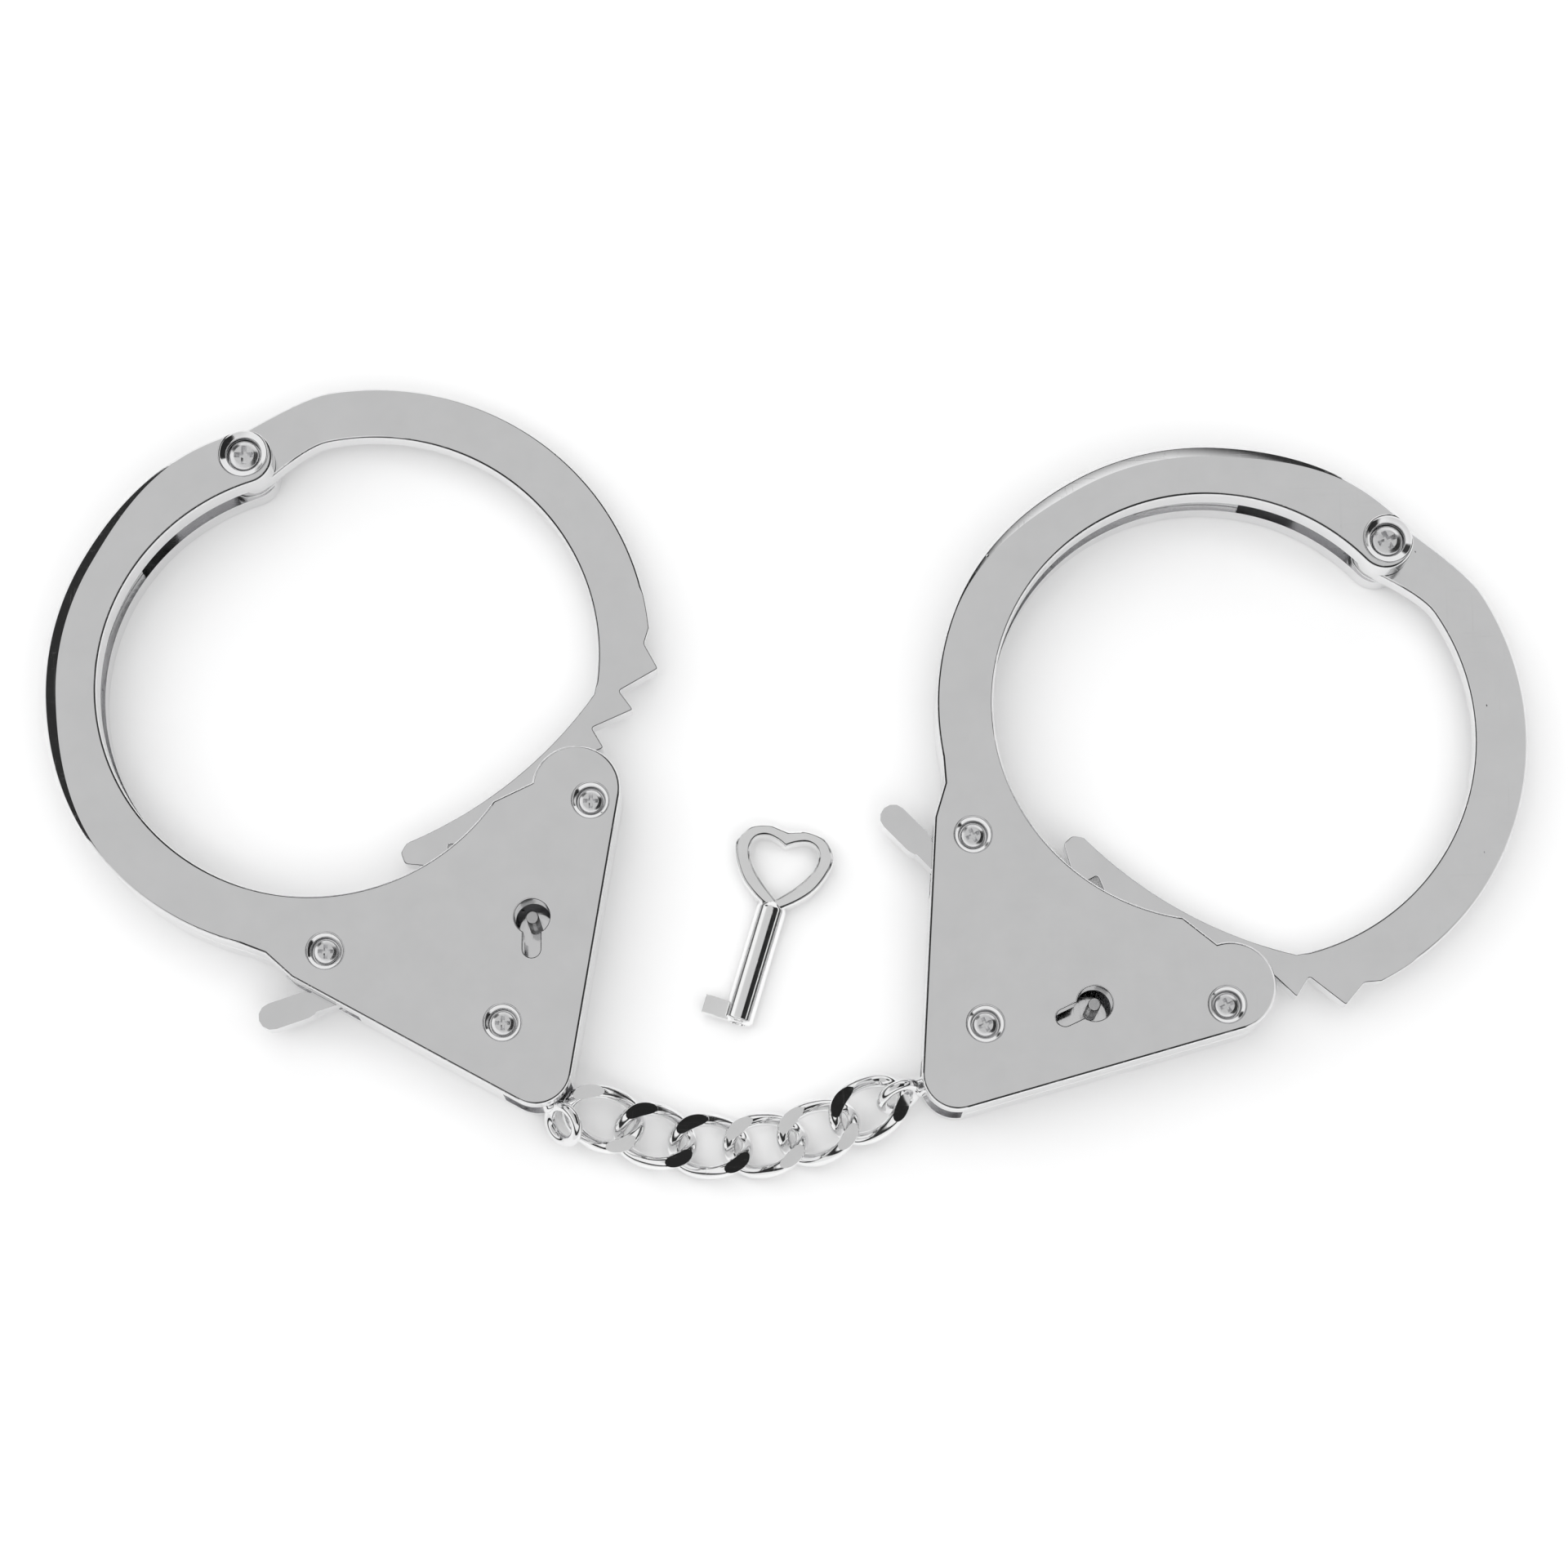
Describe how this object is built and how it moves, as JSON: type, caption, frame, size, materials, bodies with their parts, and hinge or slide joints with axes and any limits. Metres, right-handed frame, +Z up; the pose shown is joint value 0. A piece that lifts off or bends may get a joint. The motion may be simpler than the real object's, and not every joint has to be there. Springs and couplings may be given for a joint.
{
  "type": "handcuffs",
  "caption": "Pair of chain-linked handcuffs with ratchet swing arms, pivoting pawls, release levers and a heart-bow key, lying flat.",
  "frame": {"origin": "centre of the layout's bounding box on the surface it lies on", "axes": "+X from the left cuff to the right cuff, +Y from the chain towards the arms' pivots, +Z up out of the screw-head faces"},
  "size_m": [0.2112, 0.1144, 0.012],
  "materials": {
    "bright_nickel": "bright polished nickel plate on cast zinc",
    "chain_nickel": "bright nickel plate on steel wire with cut facets",
    "key_nickel": "satin-bright nickel plate on cast zinc",
    "screw_steel": "zinc-plated steel screw",
    "lock_steel": "plain stamped steel",
    "spring_steel": "tempered spring strip"
  },
  "bodies": {
    "middle_link": {"chain_link_3": "chain_nickel"},
    "link_2": {"chain_link_2": "chain_nickel"},
    "link_1": {"chain_link_1": "chain_nickel"},
    "left_swivel_body": {"left_swivel": "chain_nickel"},
    "left_cuff": {"left_front_shell": "bright_nickel", "left_back_shell": "bright_nickel", "left_pivot_screw": "screw_steel", "left_pivot_sleeve": "screw_steel", "left_housing_screw_1": "screw_steel", "left_housing_screw_2": "screw_steel", "left_housing_screw_3": "screw_steel", "left_pawl_pin": "lock_steel", "left_pawl_spring": "spring_steel", "left_lever_pin": "lock_steel", "left_key_post": "lock_steel"},
    "left_arm": {"left_swing_arm": "bright_nickel"},
    "left_pawl_body": {"left_pawl": "lock_steel"},
    "left_lever_body": {"left_release_lever": "bright_nickel"},
    "link_4": {"chain_link_4": "chain_nickel"},
    "link_5": {"chain_link_5": "chain_nickel"},
    "link_6": {"chain_link_6": "chain_nickel"},
    "right_swivel_body": {"right_swivel": "chain_nickel"},
    "right_cuff": {"right_front_shell": "bright_nickel", "right_back_shell": "bright_nickel", "right_pivot_screw": "screw_steel", "right_pivot_sleeve": "screw_steel", "right_housing_screw_1": "screw_steel", "right_housing_screw_2": "screw_steel", "right_housing_screw_3": "screw_steel", "right_pawl_pin": "lock_steel", "right_pawl_spring": "spring_steel", "right_lever_pin": "lock_steel", "right_key_post": "lock_steel"},
    "right_arm": {"right_swing_arm": "bright_nickel"},
    "right_pawl_body": {"right_pawl": "lock_steel"},
    "right_lever_body": {"right_release_lever": "bright_nickel"},
    "loose_key": {"key": "key_nickel"}
  },
  "joints": [
    {"name": "link_3_to_2", "type": "hinge", "parent": "middle_link", "child": "link_2", "pos_m": [-0.01445, -0.05229, 0.0035], "axis": [0, 0, 1], "range_deg": [-8, 8]},
    {"name": "link_2_to_1", "type": "hinge", "parent": "link_2", "child": "link_1", "pos_m": [-0.02191, -0.05029, 0.0046], "axis": [0, 0, -1], "range_deg": [-8, 8]},
    {"name": "link_1_to_swivel", "type": "hinge", "parent": "link_1", "child": "left_swivel_body", "pos_m": [-0.02914, -0.04737, 0.00487], "axis": [0, 0, 1], "range_deg": [-5, 5]},
    {"name": "left_swivel_turn", "type": "hinge", "parent": "left_swivel_body", "child": "left_cuff", "pos_m": [-0.03603, -0.04188, 0.006], "axis": [0, 0, -1], "range_deg": [-10, 10]},
    {"name": "left_arm_swing", "type": "hinge", "parent": "left_cuff", "child": "left_arm", "pos_m": [-0.07783, 0.04612, 0.006], "axis": [0, 0, 1], "range_deg": [-12.5, 115]},
    {"name": "left_pawl_turn", "type": "hinge", "parent": "left_cuff", "child": "left_pawl_body", "pos_m": [-0.02823, -0.01088, 0.006], "axis": [0, 0, 1], "range_deg": [-8.7, 0]},
    {"name": "left_lever_turn", "type": "hinge", "parent": "left_cuff", "child": "left_lever_body", "pos_m": [-0.05883, -0.03038, 0.006], "axis": [0, 0, 1], "range_deg": [0, 13.2]},
    {"name": "link_3_to_4", "type": "hinge", "parent": "middle_link", "child": "link_4", "pos_m": [-0.00669, -0.05284, 0.00295], "axis": [0, 0, -1], "range_deg": [-8, 8]},
    {"name": "link_4_to_5", "type": "hinge", "parent": "link_4", "child": "link_5", "pos_m": [0.00103, -0.05189, 0.0035], "axis": [0, 0, 1], "range_deg": [-8, 8]},
    {"name": "link_5_to_6", "type": "hinge", "parent": "link_5", "child": "link_6", "pos_m": [0.00833, -0.04937, 0.0046], "axis": [0, 0, -1], "range_deg": [-8, 8]},
    {"name": "link_6_to_swivel", "type": "hinge", "parent": "link_6", "child": "right_swivel_body", "pos_m": [0.01508, -0.04548, 0.00487], "axis": [0, 0, 1], "range_deg": [-5, 5]},
    {"name": "right_swivel_turn", "type": "hinge", "parent": "right_swivel_body", "child": "right_cuff", "pos_m": [0.02424, -0.04187, 0.006], "axis": [0, 0, -1], "range_deg": [-10, 10]},
    {"name": "right_arm_swing", "type": "hinge", "parent": "right_cuff", "child": "right_arm", "pos_m": [0.08607, 0.03342, 0.006], "axis": [0, 0, 1], "range_deg": [-8.2, 119.3]},
    {"name": "right_pawl_turn", "type": "hinge", "parent": "right_cuff", "child": "right_pawl_body", "pos_m": [0.05561, -0.03573, 0.006], "axis": [0, 0, 1], "range_deg": [-8.7, 0]},
    {"name": "right_lever_turn", "type": "hinge", "parent": "right_cuff", "child": "right_lever_body", "pos_m": [0.02494, -0.01634, 0.006], "axis": [0, 0, 1], "range_deg": [0, 13.2]},
    {"name": "key_lift", "type": "slide", "parent": "middle_link", "child": "loose_key", "axis": [0, 0, 1], "range_m": [0, 0.03]}
  ],
  "couplings": [
    {"joint": "left_lever_turn", "follows": "left_pawl_turn", "ratio": -1.506},
    {"joint": "right_lever_turn", "follows": "right_pawl_turn", "ratio": -1.506}
  ]
}
